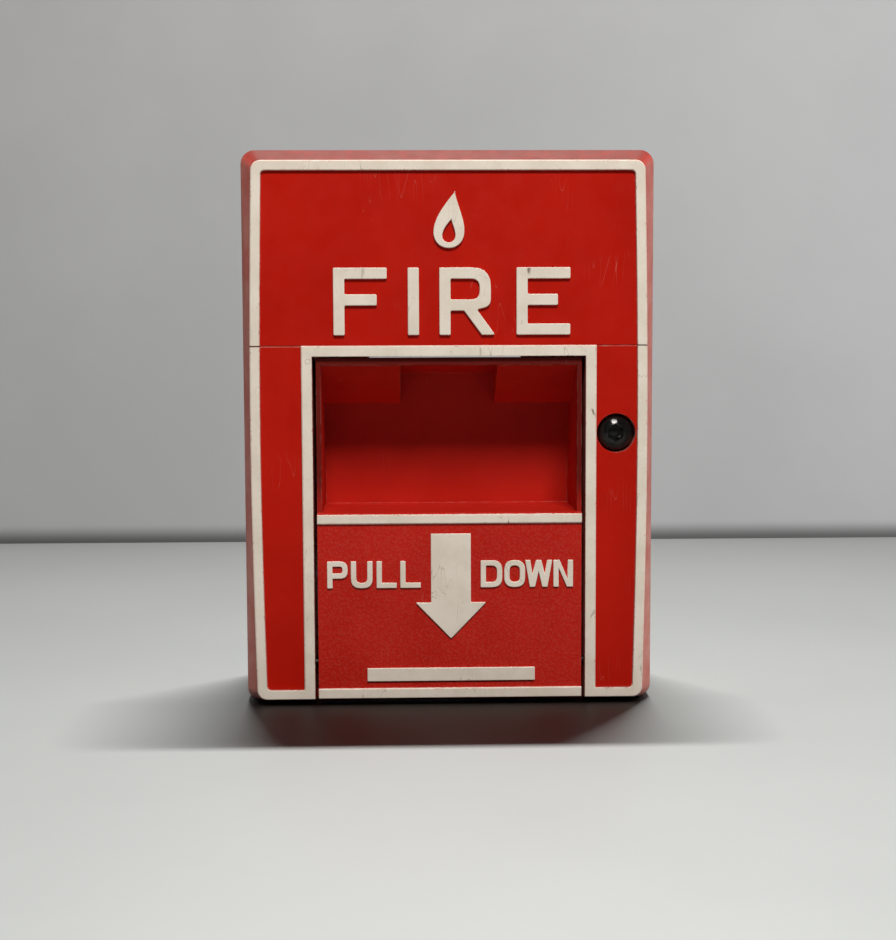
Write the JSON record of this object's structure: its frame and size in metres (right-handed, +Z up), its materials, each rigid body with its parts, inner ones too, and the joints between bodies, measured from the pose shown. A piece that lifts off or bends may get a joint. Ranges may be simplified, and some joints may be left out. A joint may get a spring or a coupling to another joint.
{
  "type": "manual fire alarm pull station",
  "caption": "Red wall-mounted manual pull station with a hinged moulded cover, a pull-down lever with finger pocket, a captive cover screw and a switch mechanism inside.",
  "frame": {"origin": "bottom of the cover, in the middle of the width and of the depth", "axes": "+X to the right seen from the front, +Y towards the wall, +Z up; the front faces -Y"},
  "size_m": [0.104, 0.04, 0.14],
  "materials": {
    "red_cover_plastic": "moulded, satin gloss",
    "red_lever_plastic": "moulded, pebbled",
    "white_print": "hot-stamped white, worn",
    "steel": "zinc plated",
    "zinc_plated_steel": "sheet, zinc plated",
    "spring_steel": "bright spring steel",
    "black_screw": "black oxide, oiled",
    "green_screw": "green dyed zinc",
    "brass": "turned and pressed",
    "rubber": "moulded",
    "black_plastic": "moulded phenolic",
    "plunger_plastic": "moulded",
    "lead_black": "PVC insulation",
    "lead_red": "PVC insulation"
  },
  "bodies": {
    "base": {"wall_plate": "zinc_plated_steel", "hinge_pins": "steel", "screw_standoff": "brass", "earth_screw": "green_screw", "earth_washer": "brass", "switch_bracket": "zinc_plated_steel", "bracket_screws": "steel", "switch_case": "black_plastic", "switch_cap": "black_plastic", "switch_tabs": "brass", "switch_screws": "steel", "switch_nuts": "steel", "arm_pin": "steel", "tab_receptacles": "brass", "terminal_block": "black_plastic", "block_screws": "steel", "terminal_clamps": "brass", "terminal_screws": "brass", "fork_lugs": "steel", "lead_common": "lead_black", "lead_alarm": "lead_red"},
    "cover": {"front_cover": "red_cover_plastic", "lever_pin": "steel", "lever_spring": "spring_steel", "stop_strap": "steel", "strap_screws": "steel", "stop_bumpers": "rubber", "latch_spring": "spring_steel", "latch_rivet": "steel"},
    "lever": {"pull_lever": "red_lever_plastic", "lever_cam": "black_plastic", "cam_screws": "steel"},
    "screw_ring": {"screw_retainer": "spring_steel"},
    "screw": {"cover_screw": "black_screw"},
    "plunger": {"switch_plunger": "plunger_plastic"},
    "arm": {"switch_arm": "spring_steel"}
  },
  "joints": [
    {"name": "cover_swing", "type": "hinge", "parent": "base", "child": "cover", "pos_m": [-0.049, 0.013, 0.07], "axis": [0, 0, -1], "range_deg": [0, 90]},
    {"name": "lever_pull", "type": "hinge", "parent": "cover", "child": "lever", "pos_m": [0, -0.0152, 0.01], "axis": [1, 0, 0], "range_deg": [0, 28], "deforming": ["lever_spring", "latch_spring"]},
    {"name": "screw_travel", "type": "slide", "parent": "cover", "child": "screw_ring", "axis": [0, -1, 0], "range_m": [0, 0.00357]},
    {"name": "screw_turn", "type": "hinge", "parent": "screw_ring", "child": "screw", "pos_m": [0.0422, -0.0143, 0.0689], "axis": [0, -1, 0], "range_deg": [0, 1620]},
    {"name": "arm_swing", "type": "hinge", "parent": "base", "child": "arm", "pos_m": [0.01295, -0.0081, 0.0358], "axis": [-1, 0, 0], "range_deg": [0, 6.5]},
    {"name": "plunger_travel", "type": "slide", "parent": "base", "child": "plunger", "axis": [0, -1, 0], "range_m": [0, 0.00079]}
  ],
  "couplings": [
    {"joint": "screw_turn", "follows": "screw_travel", "rad_per_m": 7913.3},
    {"joint": "arm_swing", "follows": "lever_pull", "ratio": 0.232},
    {"joint": "plunger_travel", "follows": "lever_pull", "m_per_rad": 0.0016}
  ]
}
